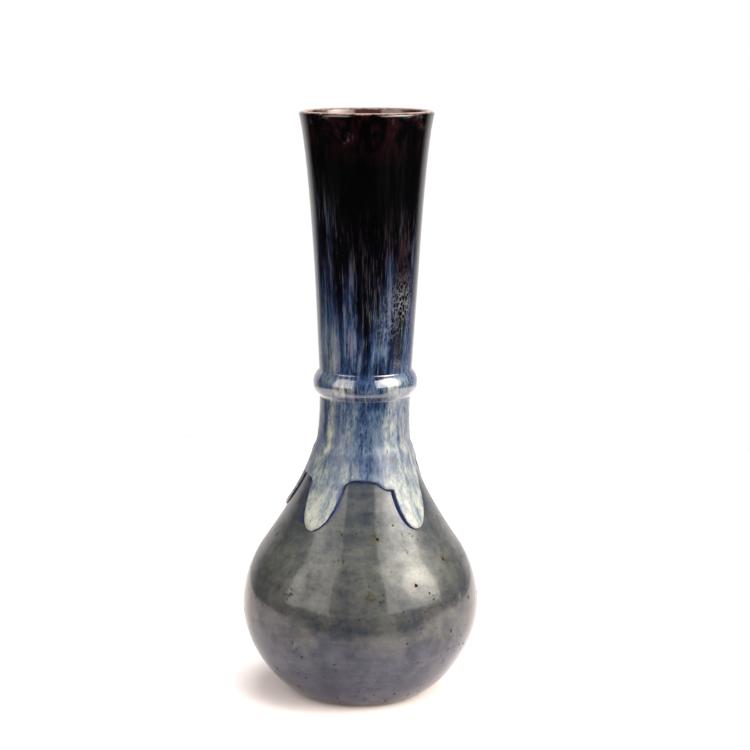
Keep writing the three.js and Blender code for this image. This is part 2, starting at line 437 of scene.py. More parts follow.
def coat_gap(height):
    """How far the running glaze's inner face is off the clay: low down it lies on the bulb's coat."""
    overlap = 1 - smooth(height, BULB_COAT["top"] + 0.6, BULB_COAT["top"] + 4)
    return CLEARANCE + overlap * (GLAZE["bulb"] + CLEARANCE)


def lip_arc(distance, steps):
    """The half-round lip, a distance off the clay, from its outer side over to its inner side."""
    radius, height = off_skin(LIP["height"], 0)
    inner_radius, inner_height = off_skin(LIP["height"], -wall_at(LIP["height"]))
    middle = np.array([(radius + inner_radius) / 2, (height + inner_height) / 2])
    half = wall_at(LIP["height"]) / 2
    across = np.array([radius - middle[0], height - middle[1]]) / half
    up = np.array([-across[1], across[0]])
    turn = np.linspace(0, math.pi, steps + 2)[1:-1, None]
    return middle + (half + distance) * (np.cos(turn) * across + np.sin(turn) * up)


def edge_tree():
    """The glaze line as points in space, to measure how far a point is from it."""
    angle = even_turn(TREE_POINTS)
    edge = edge_height(angle)
    radius, height = off_skin(edge, coat_gap(edge))
    tree = kdtree.KDTree(len(angle))
    for i, point in enumerate(round_off(angle, radius, height)):
        tree.insert(point, i)
    tree.balance()
    return tree


def distances(tree, points):
    """How far each point is from the glaze line, up to the limit, in millimetres."""
    flat = points.reshape(-1, 3)
    far = np.full(len(flat), FAR_MM)
    low, high = EDGE_HEIGHTS
    for i in np.flatnonzero((flat[:, 2] > low * MM) & (flat[:, 2] < high * MM)):
        far[i] = min(tree.find(flat[i])[2] / MM, FAR_MM)
    return far.reshape(points.shape[:-1])


def bead(distance):
    """The running glaze's thickness near its edge, as a share: a round edge, then a fat roll."""
    rise = np.sqrt(np.clip(1 - (1 - np.clip(distance / BEAD["round"], 0, 1)) ** 2, 0, 1))
    roll = BEAD["roll"] * hump(distance - BEAD["roll_at"], BEAD["roll_width"])
    return BEAD["least"] + (1 - BEAD["least"]) * rise * (BEAD["flat"] + roll)


def degrees_off(angle, middle):
    return (np.degrees(angle) - middle + 180) % 360 - 180


def hump(off, spread):
    return np.exp(-((off / spread) ** 2))


def humps(angle, table):
    """The sum of smooth humps round the vase, each of the amount that its row gives."""
    return sum(row["amount"] * hump(degrees_off(angle, row["angle"]), row["spread"]) for row in table)


def blots(angle, height, table):
    """The same, with each hump bounded up and down as well."""
    return sum(humps(angle, [row]) * hump(height - row["height"], row["tall"]) for row in table)


def paleness(angle, height):
    """How pale the glaze is above each finger, from 0 to 1: it fades in downwards."""
    pale = np.zeros(height.shape)
    for finger in FINGERS:
        away = degrees_off(angle, finger["angle"] + finger["skew"])
        below = smooth(finger["from"] - height, STREAM["begins"], STREAM["full"])
        pale = np.maximum(pale, finger["pale"] * hump(away, STREAM["spread"]) * below)
    return pale


def settled(foot, distance):
    """The running glaze's inner face, which comes down onto the bulb's coat at its edge."""
    return coat_gap(foot) - SETTLED["drop"] * (1 - smooth(distance, 0, SETTLED["within"]))


def up_from(edge, steps):
    """Rows of heights from the glaze line up towards the blend, crowded by the line."""
    share = np.linspace(0, 1, steps)[:-1, None] ** 1.6
    return share * (NECK_COAT["blend"] - edge) + edge


def all_round(heights, columns):
    return np.repeat(heights[:, None], columns, axis=1)


def coat_thickness(angle, foot, distance):
    """The running glaze's thickness: its bead, a slow wander, the throwing marks and the fat tips."""
    calm = smooth(LIP["height"] - foot, 0, 8) * smooth(distance, 1, 5)
    marks = np.sin(foot * 1.15 + 0.7 * np.sin(foot * 0.31))
    tips = sum(
        hump(degrees_off(angle, finger["angle"]), TIP_SWELL["degrees"])
        * hump(foot - finger["tip"] - TIP_SWELL["above"], TIP_SWELL["tall"])
        for finger in FINGERS
    )
    thick = GLAZE["neck"] * bead(distance)
    wander = NECK_MARKS["wander"] * waves(angle, foot, 3, 7, 60)
    thick = thick + (wander + NECK_MARKS["throwing"] * marks) * calm
    return thick + TIP_SWELL["height"] * tips * smooth(distance, 0.3, 3)


def glaze_outside(tree, angle, edge):
    """The outer face, from the line to the lip: feet on the clay, distances from the line, points."""
    rest = np.r_[
        np.linspace(NECK_COAT["blend"], COLLAR_BOTTOM["height"] - 2, 14),
        np.linspace(COLLAR_BOTTOM["height"] - 1, COLLAR_TOP["height"] + 2, 26),
        np.linspace(COLLAR_TOP["height"] + 4, LIP["height"], 48),
    ]
    foot = np.vstack([up_from(edge, 44), all_round(rest, len(angle))])
    distance = distances(tree, round_off(angle, *off_skin(foot, coat_gap(foot))))
    off = settled(foot, distance) + coat_thickness(angle, foot, distance)
    return foot, distance, round_off(angle, *off_skin(foot, off))


def glaze_over_lip(angle):
    """Over the lip, a little way down inside it, and back along the clay."""
    top = LIP["height"]
    over = lip_arc(CLEARANCE + GLAZE["lip"], 11)
    ease = np.linspace(1, 0, len(over))[:, None] ** 2
    thinned = np.array(off_skin(top, CLEARANCE + GLAZE["neck"]))
    thinned -= np.array(off_skin(top, CLEARANCE + GLAZE["lip"]))
    inside = np.linspace(top, top - NECK_COAT["inside_lip"], 6)
    back = inside[::-1]
    profile = np.vstack([
        over + ease * thinned,
        np.column_stack(off_skin(inside, -wall_at(inside) - CLEARANCE - GLAZE["lip"])),
        np.column_stack(off_skin(back, -wall_at(back) - CLEARANCE)),
        lip_arc(CLEARANCE, 5)[::-1],
    ])
    return np.stack([round_off(angle, r, np.full_like(angle, z)) for r, z in profile])


def glaze_inside(tree, angle, edge):
    """The inner face, from the lip down to the line: feet on the clay, points."""
    rest = np.r_[
        np.linspace(LIP["height"], COLLAR_TOP["height"] + 4, 9),
        np.linspace(COLLAR_TOP["height"] + 1, COLLAR_BOTTOM["height"] - 1, 13),
        np.linspace(THROAT["height"], NECK_COAT["blend"], 6),
    ]
    foot = np.vstack([all_round(rest, len(angle)), up_from(edge, 9)[::-1]])
    distance = distances(tree, round_off(angle, *off_skin(foot, coat_gap(foot))))
    return foot, round_off(angle, *off_skin(foot, settled(foot, distance)))


def neck_glaze(tree):
    angle = neck_columns()
    edge = edge_height(angle)
    foot, distance, outer = glaze_outside(tree, angle, edge)
    over_lip = glaze_over_lip(angle)
    back, inner = glaze_inside(tree, angle, edge)

    points = np.concatenate([outer, over_lip, inner])
    run = np.concatenate([
        GLAZE_LENGTH - np.interp(foot, SKIN[:, 1], SKIN_LENGTH),
        all_round(-np.linspace(0, 8, len(over_lip)), len(angle)),
        GLAZE_LENGTH - np.interp(back, SKIN[:, 1], SKIN_LENGTH),
    ])
    edges = np.concatenate([
        distance,
        np.full(over_lip.shape[:2], FAR_MM),
        np.full(inner.shape[:2], 0.0),
    ])
    around = np.broadcast_to(angle, run.shape)
    heights = np.interp(GLAZE_LENGTH - run, SKIN_LENGTH, SKIN[:, 1])
    shades = {
        "flow": flow_of(around, run),
        "edge": edges.ravel(),
        "pale": paleness(around, heights).ravel(),
        # The patches of darker and paler glaze, with the collar's two painted highlights.
        "patch": blots(around, heights, PATCHES_AND_HIGHLIGHTS).ravel(),
        "net": blots(around, heights, NETS).ravel(),
        "rust": blots(around, heights, RUSTS).ravel(),
        "ink": THIN_INK + humps(around, INK).ravel(),
        "early": humps(around, EARLY).ravel(),
    }
    quads = ring_quads(len(points), len(angle), closed=True)
    return piece("neck_running_glaze", points, quads, shades, "neck_glaze")


# ------------------------ the bulb's glaze


def bulb_glaze(tree):
    angle = even_turn(BULB_COLUMNS)
    line = SKIN[(SKIN[:, 1] >= BULB_COAT["bottom"]) & (SKIN[:, 1] <= BULB_COAT["top"])]
    even = resampled(line, BULB_ROW_MM)[:, 1]
    roll = np.clip(np.minimum(even - even[0], even[-1] - even) / BULB_EDGE["roll"], 0, 1)
    full = BULB_EDGE["least"] + (1 - BULB_EDGE["least"]) * np.sqrt(1 - (1 - roll) ** 2)
    foot = all_round(even, len(angle))
    marks = BULB_MARKS["throwing"] * waves(angle, foot, 6, 1, 7)
    marks = marks + BULB_MARKS["wander"] * waves(angle, foot, 5, 4, 70)
    outer = round_off(angle, *off_skin(foot, CLEARANCE + (GLAZE["bulb"] + marks) * full[:, None]))
    back = all_round(even[::-4], len(angle))
    inner = round_off(angle, *off_skin(back, CLEARANCE))
    points = np.concatenate([outer, inner])
    height = np.concatenate([foot, back])
    around = np.broadcast_to(angle, height.shape)
    shades = {
        "flow": flow_of(around, height),
        "ink": np.maximum(humps(around, INK), 0).ravel(),
        "edge": np.concatenate([distances(tree, outer), np.full(inner.shape[:2], FAR_MM)]).ravel(),
    }
    quads = ring_quads(len(points), len(angle), closed=True)
    return piece("bulb_base_glaze", points, quads, shades, "bulb_glaze")


# ------------------------ clay and liner


def hollow_line(distance):
    """The inside of the vase, a distance in from the clay, from the floor's edge up to the throat."""
    height = np.linspace(WALL["floor"] + 4.0, JOINT["height"], 90)
    radius, up = off_skin(height, -wall_at(height) - distance)
    bore = THROAT["radius"] - WALL["throat"] - distance
    radius = np.where(height > THROAT["height"], bore, radius)
    floor = WALL["floor"] + distance
    wall = np.column_stack([radius, up])[up > floor + CORNER["rise"]]
    r, h = wall[0]
    corner = bezier([
        (r - CORNER["flat"], floor),
        (r - CORNER["in"], floor),
        (r - CORNER["out"], h - CORNER["down"]),
        (r, h),
    ], 8)
    return np.vstack([corner[:-1], wall])


def capped(name, rows, columns, node):
    """A turned piece whose section starts and ends on the axis."""
    angle = even_turn(columns)
    rings = np.stack([round_off(angle, r, np.full_like(angle, z)) for r, z in rows[1:-1]])
    ends = np.array([round_off(0.0, 0.0, rows[k][1]) for k in (0, -1)])
    points = np.concatenate([rings.reshape(-1, 3), ends])
    faces = ring_quads(len(rings), columns, closed=False)
    first, last = len(points) - 2, len(points) - 1
    top = (len(rings) - 1) * columns
    for i in range(columns):
        j = (i + 1) % columns
        faces.append([first, j, i])
        faces.append([last, top + i, top + j])
    return piece(name, points, faces, {}, node)


def clay_bulb():
    under = resampled(np.array([
        (0.0, FOOT["recess"]),
        (FOOT["inner"] - FOOT["slope"], FOOT["recess"]),
        (FOOT["inner"], FOOT["bevel"][1]),
        (FOOT["inner"] + FOOT["bevel"][0], 0.0),
        (HEEL["radius"] - HEEL["height"], 0.0),
        at(HEEL),
    ]), 0.6)
    # The tool left shallow grooves where the foot was hollowed out.
    under[:, 1] += FOOT["grooves"] * np.sin(under[:, 0] * 2.3) * (under[:, 0] < FOOT["inner"] - 3)
    outside = resampled(bulb_outline(), 2.0)[1:]
    top = JOINT["height"] - JOINT["slip"] / 2 - CLEARANCE
    inside = hollow_line(0)[::-1]
    inside = inside[inside[:, 1] < top - 0.5]
    rows = np.vstack([
        under,
        outside,
        [(THROAT["radius"], top)],
        [(THROAT["radius"] - WALL["throat"], top)],
        inside,
        [(MIDDLE["clay"], WALL["floor"]), (0.0, WALL["floor"])],
    ])
    return capped("clay_bulb", rows, CLAY_COLUMNS, "bulb")


def liner():
    top = LIP["height"] - NECK_COAT["inside_lip"] - 2 * CLEARANCE

    def face(distance):
        neck = np.linspace(STEM["height"], top, 60)
        radius, up = off_skin(neck, -wall_at(neck) - distance)
        # The collar is outside only: behind it the bore stays smooth.
        plain = np.interp(neck, NECK_LINE[:, 1], NECK_LINE[:, 0]) - wall_at(neck) - distance
        radius = np.where(neck < COLLAR_TOP["height"] + 4, plain, radius)
        return np.vstack([hollow_line(distance), np.column_stack([radius, up])])

    outer = face(CLEARANCE)
    inner = face(CLEARANCE + GLAZE["liner"])[::-1]
    under = WALL["floor"] + CLEARANCE
    over = under + GLAZE["liner"]
    rows = np.vstack([
        [(0.0, under), (MIDDLE["liner"], under)],
        outer,
        inner,
        [(MIDDLE["liner"], over), (0.0, over)],
    ])
    return capped("liner_coat", rows, LINER_COLUMNS, "liner_glaze")


# ------------------------ materials


class Nodes:
    """A node tree, with short calls for the nodes that the glazes use."""

    def __init__(self, owner):
        owner.use_nodes = True
        self.tree = owner.node_tree

    def link(self, value, socket):
        if isinstance(value, bpy.types.NodeSocket):
            self.tree.links.new(value, socket)
        elif isinstance(value, tuple) and len(value) == 3 and socket.type == "RGBA":
            socket.default_value = (*value, 1)
        else:
            socket.default_value = value

    def node(self, kind, settings=None, **inputs):
        made = self.tree.nodes.new(kind)
        for key, value in (settings or {}).items():
            setattr(made, key, value)
        for key, value in inputs.items():
            self.link(value, made.inputs[key.replace("_", " ")])
        return made

    def where(self):
        return self.node("ShaderNodeTexCoord").outputs["Object"]

    def part(self, vector, axis):
        return self.node("ShaderNodeSeparateXYZ", Vector=vector).outputs[axis]

    def attribute(self, name, output):
        return self.node("ShaderNodeAttribute", {"attribute_name": name}).outputs[output]

    def math(self, operation, a, b=0.0):
        made = self.node("ShaderNodeMath", {"operation": operation})
        self.link(a, made.inputs[0])
        self.link(b, made.inputs[1])
        return made.outputs[0]

    def add(self, a, b):
        return self.math("ADD", a, b)

    def both(self, a, b):
        return self.math("MULTIPLY", a, b)

    def half(self, a, b):
        """The middle of two values."""
        return self.both(self.add(a, b), 0.5)

    def swing(self, value, reach):
        """A noise about its middle, times a reach."""
        return self.both(self.math("SUBTRACT", value, 0.5), reach)

    def curve(self, value, places):
        made = self.node("ShaderNodeFloatCurve", Value=value)
        points = made.mapping.curves[0].points
        points[0].location, points[-1].location = places[0], places[-1]
        for place in places[1:-1]:
            points.new(*place)
        made.mapping.update()
        return made.outputs[0]

    def stretch(self, vector, up, across=1):
        """A vector whose noise is drawn out upwards where "up" is under 1, and pressed flat over it."""
        made = self.node("ShaderNodeVectorMath", {"operation": "MULTIPLY"})
        self.link(vector, made.inputs[0])
        self.link((across, across, up), made.inputs[1])
        return made.outputs[0]

    def shifted(self, vector, offset, strength):
        """A vector pushed about by a colour."""
        scaled = self.node("ShaderNodeVectorMath", {"operation": "SCALE"})
        self.link(offset, scaled.inputs[0])
        self.link(strength, scaled.inputs["Scale"])
        added = self.node("ShaderNodeVectorMath", {"operation": "ADD"})
        self.link(vector, added.inputs[0])
        self.link(scaled.outputs[0], added.inputs[1])
        return added.outputs[0]

    def noise(self, vector, scale, detail=3.0, roughness=0.55, distortion=0.0, output=0):
        made = self.node(
            "ShaderNodeTexNoise",
            Vector=vector, Scale=scale, Detail=detail, Roughness=roughness, Distortion=distortion,
        )
        return made.outputs[output]

    def cells(self, vector, scale, feature="F1", output="Distance"):
        made = self.node("ShaderNodeTexVoronoi", {"feature": feature}, Vector=vector, Scale=scale)
        return made.outputs[output]

    def ranged(self, value, low, high, to_low=0.0, to_high=1.0):
        made = self.node(
            "ShaderNodeMapRange", {"interpolation_type": "SMOOTHSTEP"},
            Value=value, From_Min=low, From_Max=high, To_Min=to_low, To_Max=to_high,
        )
        return made.outputs[0]

    def ramp(self, value, stops):
        made = self.node("ShaderNodeValToRGB", Fac=value)
        colours = made.color_ramp
        while len(colours.elements) < len(stops):
            colours.elements.new(0.5)
        for element, (place, colour) in zip(colours.elements, stops):
            element.position = place
            element.color = (*colour, 1)
        return made.outputs[0]

    def mix(self, share, a, b, blend="MIX"):
        made = self.node("ShaderNodeMix", {"data_type": "RGBA", "blend_type": blend})
        self.link(share, made.inputs[0])
        self.link(a, made.inputs[6])
        self.link(b, made.inputs[7])
        return made.outputs[2]

    def bump(self, height, strength, distance, normal=None):
        made = self.node("ShaderNodeBump", Height=height, Strength=strength, Distance=distance)
        if normal is not None:
            self.link(normal, made.inputs["Normal"])
        return made.outputs[0]


class Shade(Nodes):
    """A new material's nodes."""

    def __init__(self, name):
        self.material = bpy.data.materials.new(name)
        super().__init__(self.material)
        self.shader = self.tree.nodes["Principled BSDF"]

    def shows(self, **inputs):
        """Link or set the shader's sockets, and return the material."""
        for key, value in inputs.items():
            self.link(value, self.shader.inputs[key.replace("_", " ")])
        return self.material


IRON_SPECK = (0.05, 0.03, 0.02)


def clay_material(name, colour, dark):
    s = Shade(name)
    where = s.where()
    cloud = s.noise(where, 60, 4)
    grit = s.noise(where, 900, 2)
    speck = s.cells(where, 420)
    shade = s.mix(s.ranged(cloud, 0.35, 0.7), dark, colour)
    shade = s.mix(s.ranged(grit, 0.45, 0.75, 0, 0.45), shade, tuple(min(c * 1.5, 1) for c in colour))
    shade = s.mix(s.ranged(speck, 0.10, 0.2, 0.7, 0), shade, IRON_SPECK)
    rough = s.ranged(grit, 0.3, 0.7, 0.75, 0.95)
    return s.shows(Base_Color=shade, Roughness=rough, Normal=s.bump(grit, 0.5, 0.0004))


# The running glaze where it lies darkest to where it lies palest.
RUNNING = [
    (0.00, (0.0002, 0.0002, 0.0002)),
    (0.26, (0.0006, 0.0006, 0.0012)),
    (0.34, (0.003, 0.005, 0.014)),
    (0.43, (0.006, 0.014, 0.040)),
    (0.52, (0.014, 0.031, 0.076)),
    (0.60, (0.036, 0.060, 0.110)),
    (0.69, (0.078, 0.102, 0.130)),
    (0.79, (0.145, 0.168, 0.172)),
    (0.89, (0.230, 0.238, 0.222)),
    (1.00, (0.315, 0.308, 0.272)),
]
# The pale threads in it, and the tints that shift it to and fro.
THREADS = [(0.38, (0.120, 0.116, 0.148)), (0.48, (0.098, 0.116, 0.142)), (0.62, (0.120, 0.142, 0.128))]
TINTS = [(0.36, (1.05, 0.97, 1.03)), (0.50, (1.0, 1.0, 1.0)), (0.64, (1.02, 1.02, 0.95))]
# How far it has turned, as a share of the ramp above, by how far it ran, as a share of the longest run.
COURSE = [
    (0.0, 0.05), (0.22, 0.14), (0.315, 0.275), (0.407, 0.37), (0.481, 0.415), (0.537, 0.46),
    (0.574, 0.57), (0.622, 0.63), (0.652, 0.64), (0.722, 0.655), (0.796, 0.69), (0.87, 0.77),
    (1.0, 0.86),
]
LONGEST_RUN = 270.0
PALE_LOOP = (0.165, 0.175, 0.185)
LOW_THREAD = (0.24, 0.25, 0.235)
DARK_THREAD = (0.004, 0.007, 0.018)
OXBLOOD = (0.007, 0.0017, 0.0026)
RUDDY = (0.024, 0.009, 0.013)
HAZE = (0.060, 0.042, 0.055)
RUST = (0.036, 0.017, 0.012)
COBALT = (0.014, 0.030, 0.105)
NAVY = (0.003, 0.007, 0.034)
# The lip's tan crest line: thin glaze, and partly a painted highlight.
THIN_LIP_AND_HIGHLIGHT = (0.210, 0.125, 0.095)
BROWN_LIP = (0.014, 0.006, 0.008)


def running_patterns(s):
    """The painted values, and noises that follow the way the glaze ran and waver from side to side."""
    g = SimpleNamespace(flow=s.attribute("flow", "Vector"))
    for name in ("edge", "pale", "ink", "early", "patch", "net", "rust"):
        setattr(g, name, s.attribute(name, "Fac"))
    g.run = s.part(g.flow, "Z")
    g.way = s.add(g.run, s.both(g.early, s.ranged(g.run, 150, 195, 1, 0)))
    g.along = s.shifted(g.flow, s.noise(s.stretch(g.flow, 0.4), 0.05, 3, output=1), 2.4)
    g.broad = s.noise(s.stretch(g.along, 0.16), 0.11, 3, 0.6)
    g.streaks = s.noise(s.stretch(g.along, 0.06), 0.42, 4, 0.65)
    g.threads = s.noise(s.stretch(g.along, 0.042), 1.6, 3, 0.65)
    g.mottle = s.noise(s.stretch(g.along, 0.50), 0.23, 5, 0.66)
    g.flecks = s.noise(s.stretch(g.along, 0.35), 0.85, 3, 0.7)
    g.hue = s.noise(s.stretch(g.along, 0.12), 0.15, 3, 0.5)
    return g


def running_level(s, g):
    """How far the glaze has turned, with its patches, streaks and flecks."""
    level = s.curve(s.math("DIVIDE", g.way, LONGEST_RUN), COURSE)
    level = s.add(level, s.both(g.pale, 0.16))
    # The patches lift or lower the level; the two on the collar are painted highlights.
    level = s.add(level, s.both(g.patch, s.ranged(g.mottle, 0.32, 0.62, 0.5, 1.4)))
    early = s.ranged(g.way, 20, 100)
    level = s.add(level, s.both(s.swing(g.broad, s.ranged(g.run, 150, 190, 0.75, 0.40)), early))
    level = s.add(level, s.both(s.swing(g.streaks, s.ranged(g.run, 130, 180, 0.40, 0.22)), early))
    level = s.add(level, s.swing(g.mottle, s.ranged(g.run, 100, 180, 0.20, 0.60)))
    return s.add(level, s.swing(g.flecks, s.ranged(g.run, 100, 175, 0.16, 0.38)))


def net_layer(s, g, colour):
    """A net of pale loops where the glaze crawled as it ran."""
    curl = s.shifted(s.stretch(g.along, 0.7), s.noise(g.along, 0.35, 2, output=1), 2.6)
    loops = s.cells(curl, 0.44, "DISTANCE_TO_EDGE")
    line = s.both(s.ranged(loops, 0.15, 0.03), s.ranged(g.flecks, 0.42, 0.54, 0.1, 0.8))
    line = s.both(line, s.both(g.net, s.ranged(g.run, 140, 180, 1, 0.4)))
    return s.mix(line, colour, PALE_LOOP)


def thread_layer(s, g, colour):
    """Fine pale threads, few near the lip and crowded by the collar, and dark ones between them."""
    fine = s.ranged(s.half(g.threads, s.half(g.streaks, g.broad)), 0.515, 0.60)
    shown = s.both(s.ranged(g.way, 50, 70), s.ranged(g.run, 152, 190, 1, 0.22))
    shown = s.both(s.ranged(g.way, 58, 130, 0.1, 0.80), shown)
    thread = s.mix(s.ranged(g.run, 160, 215), s.ramp(g.hue, THREADS), LOW_THREAD)
    colour = s.mix(s.both(fine, shown), colour, thread)
    dark = s.ranged(s.half(g.flecks, g.streaks), 0.475, 0.40)
    shown = s.both(s.ranged(g.way, 95, 140), s.ranged(g.run, 150, 195, 0.7, 0.22))
    return s.mix(s.both(dark, shown), colour, DARK_THREAD)


def tint_layer(s, g, colour):
    """Lilac where it ran thick, sage where thin, oxblood by the lip and ruddy threads below it."""
    colour = s.mix(s.ranged(g.run, 70, 150, 0.5, 1.0), colour, s.ramp(g.hue, TINTS), "MULTIPLY")
    red = s.both(s.ranged(s.half(g.mottle, g.broad), 0.46, 0.58), s.ranged(g.run, 34, 2))
    colour = s.mix(red, colour, OXBLOOD)
    ruddy = s.both(s.ranged(g.run, 48, 75), s.ranged(g.run, 130, 92, 0, 0.55))
    thread = s.ranged(s.half(s.half(g.hue, g.streaks), g.threads), 0.52, 0.59)
    colour = s.mix(s.both(thread, ruddy), colour, RUDDY)
    haze = s.both(s.ranged(s.half(g.mottle, g.flecks), 0.50, 0.60, 0, 0.6), s.ranged(g.run, 26, 8))
    misted = s.ranged(s.noise(s.stretch(g.flow, 0.8), 0.075, 1), 0.55, 0.64)
    return s.mix(s.both(haze, misted), colour, HAZE)


def rust_layer(s, g, colour):
    rust = s.ranged(s.cells(s.stretch(g.along, 0.40), 0.70), 0.42, 0.22)
    rusty = s.both(g.rust, s.ranged(s.half(g.flecks, g.mottle), 0.44, 0.52))
    return s.mix(s.both(rust, rusty), colour, RUST)


def ink_layer(s, g, colour):
    """The line of ink along the lower edge, which bled up into the glaze in places."""
    patches = s.noise(g.flow, 0.11, 2)
    ragged = s.add(g.edge, s.ranged(s.noise(g.flow, 0.8, 2), 0.35, 0.65, -0.10, 0.10))
    spread = s.both(s.ranged(patches, 0.45, 0.65, 1.3, 3.6), s.add(g.ink, 0.06))
    colour = s.mix(s.ranged(s.math("DIVIDE", ragged, spread), 1.0, 0.15, 0, 0.80), colour, COBALT)
    return s.mix(s.ranged(s.math("DIVIDE", ragged, g.ink), 1.0, 0.7), colour, NAVY)


def lip_layer(s, g, colour):
    """Over the lip the glaze ran thin and broke to brown; the tan line on the crest is partly a painted
    highlight.
    """
    lip = s.add(g.run, s.ranged(s.noise(g.flow, 0.35, 3), 0.3, 0.7, -0.25, 0.25))
    # The tan crest line: thin glaze, and partly a painted highlight.
    colour = s.mix(s.ranged(lip, -0.5, -1.2, 0, 0.9), colour, THIN_LIP_AND_HIGHLIGHT)
    return s.mix(s.ranged(lip, -2.4, -3.2, 0, 0.95), colour, BROWN_LIP)


def neck_glaze_material():
    s = Shade("running_glaze")
    g = running_patterns(s)
    level = running_level(s, g)
    colour = s.ramp(level, RUNNING)
    for layer in (net_layer, thread_layer, tint_layer, rust_layer, ink_layer, lip_layer):
        colour = layer(s, g, colour)

    # Where it turned pale its face is full of fine crystals, so it shines less sharply.
    dull = s.both(s.ranged(g.run, 167, 184), s.ranged(level, 0.42, 0.72, 0.5, 1))
    rough = s.add(s.ranged(g.streaks, 0.3, 0.7, 0.06, 0.13), s.both(dull, 0.30))
    # It pooled on the collar, and is glassiest there.
    pooled = s.both(s.ranged(g.run, 147, 152), s.ranged(g.run, 165, 161, 0, 0.45))
    glass = s.add(s.ranged(dull, 0, 1, 0.5, 0.24), pooled)
    ripple = s.bump(g.streaks, 0.10, 0.0008)
    ripple = s.bump(s.noise(g.flow, 0.9, 3), 0.08, 0.0004, ripple)
    s.shows(Base_Color=colour, Roughness=rough, Specular_IOR_Level=glass, IOR=1.62)
    return s.shows(Normal=ripple)


# The bulb's glaze from the foot up, as a share of its height, and how dark or pale it gets in patches.
GREY_GREEN = [
    (0.00, (0.010, 0.012, 0.032)),
    (0.16, (0.010, 0.014, 0.032)),
    (0.28, (0.016, 0.020, 0.035)),
    (0.38, (0.032, 0.034, 0.036)),
    (0.60, (0.039, 0.042, 0.041)),
    (0.78, (0.033, 0.037, 0.040)),
    (1.00, (0.028, 0.034, 0.042)),
]
SMUDGES = [(0.38, (0.44, 0.54, 0.72)), (0.49, (0.98, 0.98, 1.0)), (0.60, (1.62, 1.54, 1.38))]
PALE_RING = (0.120, 0.118, 0.105)
DARK_RING = (0.026, 0.031, 0.040)
GRAIN = (0.026, 0.025, 0.023)
HALO = (0.026, 0.021, 0.010)
HOLE = (0.003, 0.002, 0.002)
SPECK = (0.014, 0.011, 0.010)
CRAWL = (0.009, 0.008, 0.008)
BLUE_STAIN = (0.009, 0.016, 0.060)


def bulb_patterns(s):
    g = SimpleNamespace(flow=s.attribute("flow", "Vector"))
    g.height = s.part(g.flow, "Z")
    g.where = s.where()
    g.cloud = s.noise(g.where, 24, 5, 0.62)
    g.smudge = s.noise(s.stretch(g.where, 1.3), 105, 5, 0.72)
    g.drift = s.noise(s.stretch(g.where, 0.5), 38, 4, 0.66)
    g.rings = s.noise(s.stretch(g.where, 240, 6), 1.0, 3)
    g.grain = s.noise(g.where, 700, 3, 0.6)
    return g


def bulb_ground(s, g):
    """The smudged grey-green, with faint throwing rings and grain."""
    up = s.math("DIVIDE", s.add(g.height, s.ranged(g.cloud, 0.3, 0.7, -12, 12)), 150.0)
    tone = s.ramp(s.half(g.smudge, g.drift), SMUDGES)
    colour = s.mix(0.9, s.ramp(up, GREY_GREEN), tone, "MULTIPLY")
    colour = s.mix(s.ranged(g.rings, 0.50, 0.72, 0, 0.07), colour, PALE_RING)
    colour = s.mix(s.ranged(g.rings, 0.50, 0.30, 0, 0.12), colour, DARK_RING)
    return s.mix(s.ranged(g.grain, 0.52, 0.72, 0, 0.50), colour, GRAIN)


def picked(s, g, scale, low, channel):
    """1 in a few of the cells of a pattern of scattered points."""
    colour = s.node("ShaderNodeSeparateColor", Color=s.cells(g.where, scale, output="Color"))
    return s.ranged(colour.outputs[channel], low, low + 0.02)


def pinholes(s, g, colour):
    """Pinholes with halos where iron bled out of the clay, smaller specks, and where both are."""
    pits = s.add(s.cells(g.where, 58), s.swing(s.noise(g.where, 620, 2), 0.16))
    sparse = picked(s, g, 58, 0.25, 0)
    hole = s.both(s.ranged(pits, 0.070, 0.045), sparse)
    halo = s.both(s.ranged(pits, 0.29, 0.08), s.ranged(g.grain, 0.38, 0.6, 0.3, 0.9))
    colour = s.mix(s.both(halo, sparse), colour, HALO)
    colour = s.mix(hole, colour, HOLE)
    specks = s.both(s.ranged(s.cells(g.where, 170), 0.20, 0.08, 0, 0.85), picked(s, g, 170, 0.70, 1))
    return s.mix(specks, colour, SPECK), s.math("MAXIMUM", hole, specks)


def crawl_marks(s, g, colour):
    """Short dark crawl marks, in patches, and where they are."""
    wavy = s.noise(s.stretch(g.where, 0.7), 190, 2, 0.5, 0.8)
    squiggle = s.math("ABSOLUTE", s.math("SUBTRACT", wavy, 0.5))
    marks = s.both(s.ranged(squiggle, 0.020, 0.008), s.ranged(s.noise(g.where, 62, 2), 0.55, 0.61))
    marks = s.both(marks, s.ranged(s.noise(g.where, 240, 2), 0.46, 0.54, 0, 0.85))
    return s.mix(marks, colour, CRAWL), marks


def blue_stain(s, g, colour):
    """The neck's glaze stains this one beside its edge, most where its line of ink is heavy."""
    bled = s.ranged(s.noise(g.flow, 0.22, 2), 0.35, 0.65, 1.4, 4.4)
    reach = s.add(s.both(s.attribute("ink", "Fac"), bled), 0.12)
    stain = s.ranged(s.math("DIVIDE", s.attribute("edge", "Fac"), reach), 1.0, 0.2, 0, 0.85)
    return s.mix(stain, colour, BLUE_STAIN)


